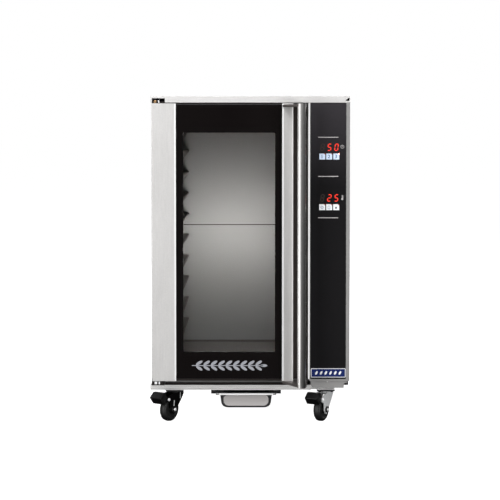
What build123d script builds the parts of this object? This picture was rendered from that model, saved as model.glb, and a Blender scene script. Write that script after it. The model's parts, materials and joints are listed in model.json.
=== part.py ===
from build123d import *
import os

# Proofing cabinet on castors, in millimetres. +Z is up and the door faces -Y.
# The origin is on the floor under the centre of the object's bounding box.

# Overall box
HALF_BODY = 305.0            # half the width of the sheet-metal body
HALF_REACH = 313.0           # half the overall width, over the base rail's end and the louvres
REAR_Y = 375.0               # rear buffers' faces
TOP_Z = 1011.0               # top sheet
TRIM_DROP = 20.0             # height of the trim strip folded down over the door

# Depth stations
DOOR_Y = -302.0              # front plane of the door and the control column
DOOR_DEPTH = 44.0
BODY_Y = -254.0              # front plane of the body behind the door
BACK_Y = 366.0               # outer face of the rear panel
SHEET = 1.2

# Base frame and body
BASE_Z = 97.0
RAIL_H = 15.0
RAIL_END_X = 188.0
RAIL_DEPTH = 30.0            # front and rear rails, along Y
RAIL_WALL = 2.0
SIDE_RAIL_IN = 206.0         # inner face of each side rail
LEFT_RAIL_OUT, RIGHT_RAIL_OUT = 266.0, 262.0
RAIL_REAR_Y = 350.0
BODY_Z = BASE_Z + RAIL_H
BODY_TOP = TOP_Z - TRIM_DROP

# Louvres of the control compartment and slots of the rear panel
LOUVRE_BANKS_Y = (-60.0, 110.0)
LOUVRE_ROWS = 8
LOUVRE_LENGTH = 120.0
LOUVRE_Z0, LOUVRE_PITCH = 300.0, 24.0
SLOT_BANKS_X = (-180.0, 200.0)
SLOT_ROWS = 8
SLOT_Z0, SLOT_PITCH = 790.0, 18.0
SLOT_W, SLOT_H = 80.0, 5.0

# Cavity
CAVITY_X0, CAVITY_X1 = -240.0, 108.0
CAVITY_Z0, CAVITY_Z1 = 164.0, 958.0
CAVITY_REAR = 345.0
LINER_T = 1.5
BAFFLE_Y = 292.0
BAFFLE_SPLIT_Z = 578.5
CAVITY_CX = (CAVITY_X0 + CAVITY_X1) / 2
WOOL_T = 14.0

# Drain from the cavity floor to the drip pan
DRAIN_X, DRAIN_Y = -30.0, -170.0
DRAIN_R, DRAIN_BORE_R = 9.9, 8.2
DRAIN_HOLE_R = 10.0
DRAIN_CLEARANCE_R = 11.5     # holes in the wool and the body floor
DRAIN_END_Z = 93.0

# Tray racks
RUNNERS = 10
RUNNER_PITCH = 73.7
LOWEST_RUNNER_Z = 252.5
RUNNER_REACH = 22.0
RUNNER_LENGTH = 526.0
RACK_Y0 = -240.0
RACK_SHEET = 1.5

# Door
DOOR_X0, DOOR_X1 = -304.0, 174.5
DOOR_Z0, DOOR_Z1 = 133.5, 988.8
GLASS_X0, GLASS_X1 = -229.0, 97.0
GLASS_Z0, GLASS_Z1 = 141.5, 985.4
GLASS_Y = DOOR_Y + 2.0
GLASS_T = 5.0
WINDOW_X0, WINDOW_X1 = -207.0, 75.5
WINDOW_Z0, WINDOW_Z1 = 224.0, 899.0
DOOR_BACK = DOOR_Y + DOOR_DEPTH
LOW_RAIL_TOP, HIGH_RAIL_BASE = 175.0, 948.0
HINGE_X, HINGE_Y = -292.0, -290.0
HINGE_PIN_R = 4.0
BUSH_R = 7.0
RUNNING = 0.05

# Full-height handle tube on the opening stile
LIP_X0, LIP_X1 = 128.0, 131.0
LIP_H = 3.0
HANDLE_X, HANDLE_Y = 155.0, -362.0
HANDLE_R = 13.0
HANDLE_WALL = 1.5
HANDLE_Z0, HANDLE_Z1 = 124.5, 986.0
END_PLATE_T = 7.0

# Control column
COLUMN_X0 = 177.5
PANEL_X0, PANEL_X1 = 183.7, 293.8
PANEL_Z0, PANEL_Z1 = 139.7, 990.6
PANEL_Y = DOOR_Y + 1.0
PANEL_T = 4.0
COLUMN_Z0 = 134.0
KEY_SIZE = 18.2
KEY_GAP = 0.3
KEY_PROUD = 0.8
KEY_DEPTH = 4.4
KEY_CORNER = 4.0
KEY_X = (220.1, 241.5, 263.1)
KEY_Z = {"upper": 826.0, "lower": 670.5}
DISPLAY_X = (206.0, 275.0)
DISPLAY_Z = {"upper": 853.7, "lower": 699.5}
LED_R = 1.2
BADGE = (186.0, 293.0, 145.0, 173.0)

# Fans in the plenum behind the baffles
FAN_Z = {"lower": 370.0, "upper": 765.0}
FAN_SIZE = 120.0
FAN_BORE_R = 57.0
FAN_Y0, FAN_DEPTH = 302.0, 38.0
FAN_SHAFT_R = 3.0

# Drip pan
PAN_X0, PAN_X1 = -111.0, 83.0
PAN_BODY_X0, PAN_BODY_X1 = -97.0, 69.0
PAN_Y0, PAN_LENGTH = -270.0, 300.0
PAN_FLANGE_Z = 88.5
PAN_FLANGE_T = 1.2
PAN_RIM_DROP = 4.5           # turned-down rim along the front of the flange
PAN_BOTTOM_Z = 38.0
PAN_DRAFT = 14.0

# Cable gland in the rear panel
GLAND_X, GLAND_Z = 230.0, 180.0
GLAND_HOLE_R = 10.2
GLAND_R = 10.0
GLAND_BORE_R = 5.0
GLAND_HEX_R, GLAND_HEX_T = 11.0, 5.0

# Castors: swivel axis places and headings, measured from the front (-Y) towards the left (-X)
CASTORS = {
    "front_left": (-237.0, -227.0, 34.0),
    "front_right": (235.0, -227.0, 28.0),
    "rear_left": (-237.0, 290.0, -30.0),
    "rear_right": (235.0, 290.0, 150.0),
}
WHEEL_R = 37.5
WHEEL_W = 24.0
TRAIL = 30.0
FORK_IN = 15.0
FORK_OUT = 17.5
AXLE_R = 5.0
KINGPIN_R = 5.0
PLATE_T = 3.0
PEDAL_PIVOT = (55.0, 72.0)
PEDAL_PIN_R = 3.0
PEDAL_HALF = 27.0
PEDAL_SKIN = 2.5


def block(x0, x1, y0, y1, z0, z1):
    """A box given by its limits."""
    centre = ((x0 + x1) / 2, (y0 + y1) / 2, (z0 + z1) / 2)
    return Pos(*centre) * Box(x1 - x0, y1 - y0, z1 - z0)


def rod(centre, radius, length, axis="Z"):
    """A cylinder that starts at centre and runs along +axis."""
    turn = {"Z": (0, 0, 0), "Y": (-90, 0, 0), "X": (0, 90, 0)}[axis]
    solid = Cylinder(radius, length, align=(Align.CENTER, Align.CENTER, Align.MIN))
    return Pos(*centre) * Rot(*turn) * solid


def prism_z(points, z0, z1):
    """An upright prism over a plan outline."""
    face = make_face(Polyline(*points, close=True))
    return Pos(0, 0, z0) * extrude(face, z1 - z0)


def prism_y(points, y0, y1):
    """A prism along Y over an outline of (x, z) points."""
    outline = [(x, y0, z) for x, z in points]
    return extrude(make_face(Polyline(*outline, close=True)), y1 - y0, dir=(0, 1, 0))


def ring_y(outer, inner, y0, y1):
    """A frame in the XZ plane between two rectangles (x0, x1, z0, z1)."""
    return block(*outer[:2], y0, y1, *outer[2:]) - block(*inner[:2], y0 - 1, y1 + 1, *inner[2:])


def grow(rect, by):
    """A rectangle (x0, x1, z0, z1) grown by the same amount on every side."""
    return (rect[0] - by, rect[1] + by, rect[2] - by, rect[3] + by)


CAVITY = (CAVITY_X0, CAVITY_X1, CAVITY_Z0, CAVITY_Z1)


# --- Base and body -----------------------------------------------------------------


def rail(x0, x1, y0, y1):
    """Closed rectangular tube lying in the base frame."""
    wall = RAIL_WALL
    solid = block(x0, x1, y0, y1, BASE_Z, BODY_Z)
    return solid - block(x0 + wall, x1 - wall, y0 + wall, y1 - wall, BASE_Z + wall, BODY_Z - wall)


def base_frame():
    """Front rail with a creased face, two side rails that carry the castors, and a rear rail."""
    front_rear_y = BODY_Y + RAIL_DEPTH
    front = rail(-HALF_REACH, RAIL_END_X, BODY_Y, front_rear_y)
    front -= block(-HALF_REACH - 1, RAIL_END_X + 1, BODY_Y - 1, BODY_Y + 0.8, BASE_Z + 6.6, BASE_Z + 8)
    left = rail(-LEFT_RAIL_OUT, -SIDE_RAIL_IN, front_rear_y, RAIL_REAR_Y)
    right = rail(SIDE_RAIL_IN, RIGHT_RAIL_OUT, BODY_Y + 2, RAIL_REAR_Y)
    rear = rail(-SIDE_RAIL_IN, SIDE_RAIL_IN, RAIL_REAR_Y - RAIL_DEPTH, RAIL_REAR_Y)
    tie = block(RAIL_END_X, SIDE_RAIL_IN, BODY_Y + 4, front_rear_y - 2, BASE_Z + 2, BODY_Z)
    return Compound(children=[front, left, right, rear, tie])


def body_floor():
    """Bottom tray of the body, cut out over the drain."""
    half = HALF_BODY - SHEET
    tray = block(-half, half, BODY_Y + 2, BACK_Y - SHEET, BODY_Z, BODY_Z + SHEET)
    return tray - rod((DRAIN_X, DRAIN_Y, BODY_Z - 1), DRAIN_CLEARANCE_R, 4)


def side_panel(sign):
    """Side sheet with a folded flange at its rear edge."""
    outer = HALF_BODY * sign
    inner = (HALF_BODY - SHEET) * sign
    edge = (HALF_BODY - 18) * sign
    front = BODY_Y + 2 if sign < 0 else BODY_Y + 0.1
    sheet = block(min(outer, inner), max(outer, inner), front, BACK_Y - SHEET, BODY_Z, BODY_TOP + 16)
    flange = block(
        min(edge, inner), max(edge, inner), BACK_Y - 2 * SHEET, BACK_Y - SHEET, BODY_Z + 2, BODY_TOP + 16
    )
    return sheet + flange


def louvre(y, z):
    """Pressed scoop on the right side sheet, open at the bottom, and the space inside it."""
    inside = HALF_BODY - 2
    root = HALF_BODY - 0.6
    lip = HALF_REACH
    scoop = prism_y([(root, z), (lip, z), (lip, z + 1.5), (root, z + 13)], y, y + LOUVRE_LENGTH)
    space = prism_y(
        [(inside, z - 1), (lip - SHEET, z - 1), (inside, z + 11.5)],
        y + SHEET,
        y + LOUVRE_LENGTH - SHEET,
    )
    return scoop, space


def right_side_panel():
    """Side sheet of the control compartment with two banks of pressed louvres."""
    panel = side_panel(1)
    for bank_y in LOUVRE_BANKS_Y:
        for row in range(LOUVRE_ROWS):
            scoop, space = louvre(bank_y, LOUVRE_Z0 + LOUVRE_PITCH * row)
            panel = panel + scoop - space
    return panel


def top_panel():
    """Top sheet with a deep trim folded down in front and shallow folds at the sides and rear."""
    half = HALF_BODY + SHEET
    top = block(-half, half, DOOR_Y, BACK_Y, TOP_Z - SHEET, TOP_Z)
    trim = block(-half, half, DOOR_Y, DOOR_Y + SHEET, BODY_TOP, TOP_Z)
    hinge_notch = block(-302, -262, DOOR_Y - 1, DOOR_Y + 3, BODY_TOP - 1, BODY_TOP + 13)
    corner_notch = prism_y(
        [(half - 18, BODY_TOP + 5), (half - 3, BODY_TOP + 5), (half - 3, TOP_Z - 4)], DOOR_Y - 1, DOOR_Y + 3
    )
    trim = trim - hinge_notch - corner_notch
    left = block(-half, -half + SHEET, DOOR_Y, BACK_Y, BODY_TOP, TOP_Z)
    right = block(half - SHEET, half, DOOR_Y, BACK_Y, BODY_TOP, TOP_Z)
    rear = block(-half, half, BACK_Y, BACK_Y + SHEET, BODY_TOP, TOP_Z)
    soffit = block(-half, half, DOOR_Y, BODY_Y, BODY_TOP, BODY_TOP + SHEET)
    soffit -= block(-302, -262, DOOR_Y - 1, BODY_Y + 1, BODY_TOP - 1, BODY_TOP + 3)
    return top + trim + left + right + rear + soffit


def rear_panel():
    """Rear sheet with ventilation slots and a hole for the cable gland."""
    sheet = block(-HALF_BODY, HALF_BODY, BACK_Y - SHEET, BACK_Y, BODY_Z, BODY_TOP)
    for bank_x in SLOT_BANKS_X:
        for row in range(SLOT_ROWS):
            z = SLOT_Z0 + SLOT_PITCH * row
            sheet -= block(bank_x - SLOT_W / 2, bank_x + SLOT_W / 2, BACK_Y - 4, BACK_Y + 1, z, z + SLOT_H)
    return sheet - rod((GLAND_X, BACK_Y - 5, GLAND_Z), GLAND_HOLE_R, 10, "Y")


def cavity_liner():
    """Welded inner box, open towards the door."""
    x0, x1, z0, z1 = grow(CAVITY, LINER_T)
    outer = block(x0, x1, BODY_Y + 2, CAVITY_REAR + LINER_T, z0, z1)
    inner = block(CAVITY_X0, CAVITY_X1, BODY_Y + 1, CAVITY_REAR, CAVITY_Z0, CAVITY_Z1)
    return outer - inner - rod((DRAIN_X, DRAIN_Y, CAVITY_Z0 - 5), DRAIN_HOLE_R, 10)


def door_surround():
    """Front frame of the body that the door closes on."""
    rect = (-HALF_BODY, COLUMN_X0, BODY_Z, BODY_TOP)
    return ring_y(rect, CAVITY, BODY_Y, BODY_Y + 2)


def insulation():
    """Mineral wool slabs on the two sides, the top, the bottom and the rear of the liner."""
    t = WOOL_T
    lo, hi = BODY_Y + 4, CAVITY_REAR + LINER_T
    x0, x1, z0, z1 = grow(CAVITY, LINER_T)
    slabs = [
        block(x0 - t, x0, lo, hi, z0, z1),
        block(x1, x1 + t, lo, hi, z0, z1),
        block(x0, x1, lo, hi, z1, z1 + t),
        block(x0, x1, lo, hi, z0 - t, z0) - rod((DRAIN_X, DRAIN_Y, z0 - t - 1), DRAIN_CLEARANCE_R, t + 2),
        block(x0, x1, hi, hi + t, z0, z1),
    ]
    return Compound(children=slabs)


def rear_baffle(z0, z1):
    """Air baffle sheet across the rear of the cavity with a fold turned back on each side."""
    x0, x1 = CAVITY_X0 + 3, CAVITY_X1 - 3
    sheet = block(x0, x1, BAFFLE_Y, BAFFLE_Y + SHEET, z0, z1)
    left = block(x0, x0 + SHEET, BAFFLE_Y, BAFFLE_Y + 9, z0, z1)
    right = block(x1 - SHEET, x1, BAFFLE_Y, BAFFLE_Y + 9, z0, z1)
    return sheet + left + right


def rack(sign):
    """Side sheet and its ten tray runners, each a folded ledge with a rounded nose."""
    wall = CAVITY_X0 + 0.5 if sign < 0 else CAVITY_X1 - 0.5
    inward = -sign
    face = wall + inward * RACK_SHEET
    y1 = RACK_Y0 + RUNNER_LENGTH
    z_low = LOWEST_RUNNER_Z - 50
    z_high = LOWEST_RUNNER_Z + RUNNER_PITCH * (RUNNERS - 1) + 20
    children = [block(min(wall, face), max(wall, face), RACK_Y0, y1, z_low, z_high)]
    for i in range(RUNNERS):
        z = LOWEST_RUNNER_Z + RUNNER_PITCH * i
        nose = face + inward * RUNNER_REACH
        outline = [(face, z), (nose, z), (nose, z - 7), (face, z - 34)]
        hollow = [
            (face - inward, z - 1.6),
            (nose - inward * 1.6, z - 1.6),
            (nose - inward * 1.6, z - 6.2),
            (face - inward, z - 33.4),
        ]
        ledge = prism_y(outline, RACK_Y0, y1)
        edges = ledge.edges().filter_by(Axis.Y).sort_by(Axis.X)
        edges = edges[2:] if inward > 0 else edges[:2]
        ledge = fillet(edges, 2.4)
        children.append(ledge - prism_y(hollow, RACK_Y0 - 1, y1 + 1))
    return Compound(children=children)


def door_gasket():
    """Hollow silicone seal around the mouth of the cavity."""
    outer = grow(CAVITY, 15)
    return ring_y(outer, grow(CAVITY, 4), BODY_Y - 3.6, BODY_Y)


def drip_gutter():
    """Dark channel under the door that leads condensate to the pan."""
    strip = block(-266, 176, BODY_Y - 8, BODY_Y, 115, 121)
    return strip - block(-264.5, 174.5, BODY_Y - 6.5, BODY_Y - 1, 116.5, 122)


# --- Plenum ------------------------------------------------------------------------


def fan_frames():
    """Two square axial fan frames with a motor hub held by three struts."""
    frames = []
    for z in FAN_Z.values():
        half = FAN_SIZE / 2
        y1 = FAN_Y0 + FAN_DEPTH
        frame = block(CAVITY_CX - half, CAVITY_CX + half, FAN_Y0, y1, z - half, z + half)
        frame -= rod((CAVITY_CX, FAN_Y0 - 1, z), FAN_BORE_R, FAN_DEPTH + 2, "Y")
        frame += rod((CAVITY_CX, y1 - 12, z), 20, 12, "Y")
        for angle in (90, 210, 330):
            strut = block(18, FAN_BORE_R + 2, y1 - 5, y1, -3, 3)
            frame += Pos(CAVITY_CX, 0, z) * Rot(0, angle, 0) * strut
        frame += rod((CAVITY_CX, FAN_Y0 + 2, z), FAN_SHAFT_R, FAN_DEPTH - 12, "Y")
        frames.append(frame)
    return Compound(children=frames)


def fan_wheel(z):
    """Hub with seven pitched blades, running on the frame's shaft."""
    hub = Cylinder(20, 20)
    for i in range(7):
        blade = Rot(0, 0, i * 360 / 7) * Pos(36, 0, 0) * Rot(32, 0, 0) * Box(36, 26, 1.6)
        hub += blade
    hub &= Cylinder(54, 20)
    hub -= Cylinder(FAN_SHAFT_R + RUNNING, 30)
    return Pos(CAVITY_CX, FAN_Y0 + 13, z) * Rot(90, 0, 0) * hub


def heater_element():
    """Sheathed heating rod bent into a rounded loop around both fans."""
    y = CAVITY_REAR - 12
    w, h, r = 230.0, 660.0, 25.0
    plane = Plane(origin=(CAVITY_CX, y, 567.0), x_dir=(1, 0, 0), z_dir=(0, -1, 0))
    path = (plane * RectangleRounded(w, h, r)).faces()[0].outer_wire()
    start = Plane(origin=path @ 0, z_dir=path % 0)
    return sweep(start * Circle(4), path=path)


def humidity_trough():
    """Water trough at the bottom of the plenum."""
    box = block(-180, 50, 302, 340, CAVITY_Z0, CAVITY_Z0 + 34)
    return box - block(-178.5, 48.5, 303.5, 338.5, CAVITY_Z0 + 1.5, CAVITY_Z0 + 40)


# --- Drain -------------------------------------------------------------------------


def drain_spout():
    """Spout from the cavity floor to just above the drip pan."""
    tube = rod((DRAIN_X, DRAIN_Y, DRAIN_END_Z), DRAIN_R, CAVITY_Z0 - DRAIN_END_Z)
    return tube - rod((DRAIN_X, DRAIN_Y, DRAIN_END_Z - 1), DRAIN_BORE_R, CAVITY_Z0)


def drip_pan_runners():
    """Two black channels under the front rail that the pan's flanges slide in."""
    y0, y1 = PAN_Y0 + 16.2, PAN_Y0 + PAN_LENGTH + 10
    slot_z0, slot_z1 = PAN_FLANGE_Z - 0.4, PAN_FLANGE_Z + 2.2
    runners = []
    for edge, sign in ((PAN_X0, -1), (PAN_X1, 1)):
        near = edge - sign * 8
        body_x = sorted((edge + sign * 12, near))
        slot_x = sorted((edge + sign * 0.6, near - sign))
        body = block(*body_x, y0, y1, PAN_FLANGE_Z - 3, BASE_Z)
        runners.append(body - block(*slot_x, y0 - 1, y1 - 6, slot_z0, slot_z1))
    return Compound(children=runners)


def drip_pan():
    """Deep-drawn pan with a flat flange, drafted sides and large bottom corners."""
    y0, y1 = PAN_Y0, PAN_Y0 + PAN_LENGTH
    flange = block(PAN_X0, PAN_X1, y0, y1, PAN_FLANGE_Z, PAN_FLANGE_Z + PAN_FLANGE_T)
    flange = fillet(flange.edges().filter_by(Axis.Z), 12)
    rim = block(PAN_X0, PAN_X1, y0, y1, PAN_FLANGE_Z - PAN_RIM_DROP, PAN_FLANGE_Z)
    rim = fillet(rim.edges().filter_by(Axis.Z), 12) & block(PAN_X0, PAN_X1, y0, y0 + 4, 0, PAN_FLANGE_Z)
    cx, cy = (PAN_BODY_X0 + PAN_BODY_X1) / 2, (y0 + y1) / 2
    width, length = PAN_BODY_X1 - PAN_BODY_X0, PAN_LENGTH - 32

    def shell(inset, top_z, floor_z):
        top = Pos(cx, cy, top_z) * RectangleRounded(width - 2 * inset, length - 2 * inset, 26 - inset)
        low = Pos(cx, cy, floor_z) * RectangleRounded(
            width - PAN_DRAFT - 2 * inset, length - PAN_DRAFT - 2 * inset, 24 - inset
        )
        body = loft([top.faces()[0], low.faces()[0]])
        bottom = body.faces().sort_by(Axis.Z)[0]
        return fillet(bottom.edges(), 17 - inset)

    outer = shell(0, PAN_FLANGE_Z + PAN_FLANGE_T, PAN_BOTTOM_Z)
    inner = shell(1.2, PAN_FLANGE_Z + PAN_FLANGE_T, PAN_BOTTOM_Z + 1.2)
    return flange + rim + outer - inner


# --- Door --------------------------------------------------------------------------


def stile_box(points, hollow):
    """Upright folded box section with closed ends."""
    return prism_z(points, DOOR_Z0, DOOR_Z1) - prism_z(hollow, DOOR_Z0 + 1.5, DOOR_Z1 - 1.5)


def door_hinge_stile():
    """Wide flat stile on the hinge side, bored for the hinge bushes."""
    t = 1.5
    solid = block(DOOR_X0, GLASS_X0, DOOR_Y, DOOR_BACK, DOOR_Z0, DOOR_Z1)
    solid = fillet(solid.edges().filter_by(Axis.Z).group_by(Axis.Y)[0], 2.0)
    solid -= block(DOOR_X0 + t, GLASS_X0 - t, DOOR_Y + t, DOOR_BACK - t, DOOR_Z0 + t, DOOR_Z1 - t)
    solid -= rod((HINGE_X, HINGE_Y, DOOR_Z0 - 1), BUSH_R, DOOR_Z1 - DOOR_Z0 + 2)
    return solid


def door_handle_stile():
    """Opening stile with a flat face, a small forward lip and a deep finger recess."""
    floor_y = DOOR_BACK - 4
    outline = [
        (GLASS_X1, DOOR_Y),
        (LIP_X0, DOOR_Y),
        (LIP_X0 + 1, DOOR_Y - LIP_H),
        (LIP_X1, DOOR_Y - LIP_H),
        (LIP_X1, floor_y),
        (DOOR_X1, floor_y),
        (DOOR_X1, DOOR_BACK),
        (GLASS_X1, DOOR_BACK),
    ]
    hollow = [
        (GLASS_X1 + 1.5, DOOR_Y + 1.5),
        (LIP_X1 - 1.5, DOOR_Y + 1.5),
        (LIP_X1 - 1.5, DOOR_BACK - 1.5),
        (GLASS_X1 + 1.5, DOOR_BACK - 1.5),
    ]
    return stile_box(outline, hollow)


def end_plate(z0):
    """Plate that carries the handle tube in front of the stile."""
    outline = [
        (GLASS_X1 + 1, DOOR_Y),
        (HANDLE_X - 12, HANDLE_Y - 7),
        (HANDLE_X, HANDLE_Y - HANDLE_R),
        (HANDLE_X + 12, HANDLE_Y - 5),
        (HANDLE_X + 16, HANDLE_Y + 8),
        (DOOR_X1 - 1, DOOR_Y),
    ]
    return prism_z(outline, z0, z0 + END_PLATE_T)


def handle_end_plates():
    """The bottom and top plates, bored for the tube, with tongues welded to the stile."""
    tube = rod((HANDLE_X, HANDLE_Y, 0), HANDLE_R, 2000)
    low_z = DOOR_Z0 - END_PLATE_T
    tongue = block(GLASS_X1 + 1, DOOR_X1 - 1, DOOR_Y, DOOR_Y + 18, low_z, DOOR_Z0)
    low = end_plate(low_z) + tongue - tube
    lip = block(LIP_X0 - 1, LIP_X1, DOOR_Y - LIP_H, DOOR_Y + 1, 0, 2000)
    high = end_plate(HANDLE_Z1 - END_PLATE_T - 1.5) - lip - tube
    return Compound(children=[low, high])


def door_handle():
    """Full-height round handle tube with closed ends."""
    tube = rod((HANDLE_X, HANDLE_Y, HANDLE_Z0), HANDLE_R, HANDLE_Z1 - HANDLE_Z0)
    hollow = rod((HANDLE_X, HANDLE_Y, HANDLE_Z0 + 2), HANDLE_R - HANDLE_WALL, HANDLE_Z1 - HANDLE_Z0 - 4)
    return tube - hollow


def door_rail(z0, z1, lip_z0, lip_z1):
    """Hollow rail behind the glass with a lip in the plane of the glass."""
    back_of_glass = GLASS_Y + GLASS_T
    solid = block(GLASS_X0, GLASS_X1, back_of_glass, DOOR_BACK, z0, z1)
    solid -= block(GLASS_X0 + 2, GLASS_X1 - 2, back_of_glass + 1.5, DOOR_BACK - 1.5, z0 + 1.5, z1 - 1.5)
    return solid + block(GLASS_X0, GLASS_X1, GLASS_Y + 1, back_of_glass, lip_z0, lip_z1)


def door_rails():
    """Bottom rail with its lip under the glass, and top rail with its lip over it."""
    low = door_rail(DOOR_Z0 + 1, LOW_RAIL_TOP, DOOR_Z0 + 1, GLASS_Z0 - 0.5)
    high = door_rail(HIGH_RAIL_BASE, DOOR_Z1, GLASS_Z1 + 0.4, DOOR_Z1)
    return Compound(children=[low, high])


def door_outer_glass():
    """Outer pane between the stiles."""
    return block(GLASS_X0, GLASS_X1, GLASS_Y, GLASS_Y + GLASS_T, GLASS_Z0, GLASS_Z1)


def door_inner_frame():
    """Frame on the cavity side that holds the inner pane."""
    inner = (WINDOW_X0 - 7, WINDOW_X1 + 6.5, WINDOW_Z0 - 19, WINDOW_Z1 + 16)
    return ring_y((GLASS_X0, GLASS_X1, LOW_RAIL_TOP, HIGH_RAIL_BASE), inner, DOOR_BACK - 4, DOOR_BACK)


def door_inner_glass():
    """Inner pane clamped behind its frame."""
    rect = (WINDOW_X0 - 15, WINDOW_X1 + 14.5, WINDOW_Z0 - 34, WINDOW_Z1 + 31)
    return block(*rect[:2], DOOR_BACK - 8.2, DOOR_BACK - 4, *rect[2:])


def hinge_bushes():
    """Bronze bushes pressed into the ends of the hinge stile."""
    bushes = []
    for z0 in (DOOR_Z0, DOOR_Z1 - 14):
        bush = rod((HINGE_X, HINGE_Y, z0), BUSH_R, 14)
        bushes.append(bush - rod((HINGE_X, HINGE_Y, z0 - 1), HINGE_PIN_R + RUNNING, 16))
    return Compound(children=bushes)


def hinge_brackets():
    """Top and bottom brackets on the body with the pins that the door turns on."""
    x0, x1 = HINGE_X - 9, HINGE_X + 24
    outline = [(x0, BODY_Y), (x0, -294), (x0 + 4, -300), (x0 + 15, -300), (x0 + 21, -294), (x1, BODY_Y)]
    top_z = DOOR_Z1 + 0.8
    top = prism_z(outline, top_z, top_z + 3)
    top += block(x0, x1, BODY_Y - 3, BODY_Y, top_z, BODY_TOP + 12)
    top += rod((HINGE_X, HINGE_Y, DOOR_Z1 - 12), HINGE_PIN_R, 26)
    top += rod((HINGE_X, HINGE_Y, top_z + 3), HINGE_PIN_R + 2.5, 4)
    top += block(HINGE_X + 8, HINGE_X + 30, -300, -297, top_z + 1, top_z + 4)
    top += block(HINGE_X + 8, HINGE_X + 11, -300, -262, top_z, top_z + 4)
    low_z = DOOR_Z0 - 0.8
    low = prism_z(outline, low_z - 4, low_z)
    low += block(x0 - 7, x1, BODY_Y - 3, BODY_Y, BODY_Z, low_z)
    low += rod((HINGE_X, HINGE_Y, low_z - 9), HINGE_PIN_R, 21)
    low += rod((HINGE_X, HINGE_Y, low_z - 8), 2 * HINGE_PIN_R, 4)
    low += rod((HINGE_X + 13, DOOR_Y, low_z - 4), 3.2, 6, "Y")
    return Compound(children=[top, low])


# --- Control column ----------------------------------------------------------------


def column_frame():
    """Stainless surround of the control panel with returns to the body."""
    x1 = HALF_BODY
    solid = block(COLUMN_X0, x1, DOOR_Y, BODY_Y, COLUMN_Z0, BODY_TOP)
    lower_edges = solid.edges().filter_by(Axis.Y).sort_by(Axis.Z)[:2]
    solid = fillet([lower_edges.sort_by(Axis.X)[0]], 9)
    solid -= block(COLUMN_X0 + 1.5, x1 - 1.5, DOOR_Y + 1.5, BODY_Y + 1, COLUMN_Z0 + 1.5, BODY_TOP - 1.5)
    return solid - block(PANEL_X0, PANEL_X1, DOOR_Y - 1, PANEL_Y + PANEL_T + 1, PANEL_Z0, PANEL_Z1)


def key_outline(x, z, grown):
    """A square with its upper outer corner cut off, clear of the indicator light."""
    h = KEY_SIZE / 2 + grown
    c = KEY_CORNER
    return [(x - h, z - h), (x + h, z - h), (x + h, z + h - c), (x + h - c, z + h), (x - h, z + h)]


def key(x, z):
    """One square key standing slightly proud of the panel."""
    y0 = PANEL_Y - KEY_PROUD
    return prism_y(key_outline(x, z, 0), y0, y0 + KEY_DEPTH)


def led_centre(x, z):
    """Centre of the indicator at a key's cut corner."""
    return x + KEY_SIZE / 2 - 0.4, z + KEY_SIZE / 2 - 0.4


def control_panel():
    """Dark fascia plate with six key openings and six light openings."""
    panel = block(PANEL_X0, PANEL_X1, PANEL_Y, PANEL_Y + PANEL_T, PANEL_Z0, PANEL_Z1)
    for z in KEY_Z.values():
        for x in KEY_X:
            panel -= prism_y(key_outline(x, z, KEY_GAP), PANEL_Y - 1, PANEL_Y + PANEL_T + 1)
            lx, lz = led_centre(x, z)
            panel -= rod((lx, PANEL_Y - 1, lz), LED_R, PANEL_T + 2, "Y")
    return panel


def indicator_leds():
    """Six round lenses, one at each key's corner."""
    lenses = []
    for z in KEY_Z.values():
        for x in KEY_X:
            lx, lz = led_centre(x, z)
            lenses.append(rod((lx, PANEL_Y - 0.4, lz), LED_R, PANEL_T + 0.4, "Y"))
    return Compound(children=lenses)


def display_modules():
    """Two three-digit display modules against the back of the panel."""
    y0 = PANEL_Y + PANEL_T
    x0, x1 = DISPLAY_X
    return Compound(children=[block(x0, x1, y0, y0 + 8, z - 15, z + 9.5) for z in DISPLAY_Z.values()])


def control_board():
    """Circuit board on four posts behind the panel, with a transformer and two relays."""
    y0 = PANEL_Y + PANEL_T + 9
    board = block(188, 290, y0, y0 + 1.6, 600, 900)
    for x in (194, 284):
        for z in (606, 894):
            board += block(x - 3, x + 3, PANEL_Y + PANEL_T, y0, z - 3, z + 3)
    board += block(210, 250, y0 + 1.6, y0 + 28, 620, 660)
    for z in (700, 730):
        board += block(215, 235, y0 + 1.6, y0 + 17, z, z + 16)
    return board


def badge_plate():
    """Blank rectangular plate at the foot of the panel."""
    x0, x1, z0, z1 = BADGE
    plate = block(x0, x1, PANEL_Y - 1.5, PANEL_Y, z0, z1)
    return fillet(plate.edges().filter_by(Axis.Y), 3)


def service_panel():
    """Stainless cover under the column, with a wider top flange and a folded bottom."""
    x0, x1 = 186.5, 288.0
    y0 = DOOR_Y + 3
    z0 = BODY_Z
    flange_x, flange_z = x1 + 9, z0 + 15
    outline = [
        (x0, z0 + 8),
        (x0 + 6, z0),
        (x1, z0),
        (x1, flange_z),
        (flange_x, flange_z),
        (flange_x, COLUMN_Z0),
        (x0, COLUMN_Z0),
    ]
    cover = prism_y(outline, y0, y0 + SHEET)
    fold = block(x0 + 6, x1, y0, BODY_Y + 2, z0, z0 + SHEET)
    side = block(x1 - SHEET, x1, y0, BODY_Y + 2, z0, COLUMN_Z0)
    left = block(x0, x0 + SHEET, y0, BODY_Y + 2, z0 + 8, COLUMN_Z0)
    return cover + fold + side + left


# --- Rear fittings and fasteners ----------------------------------------------------


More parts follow.
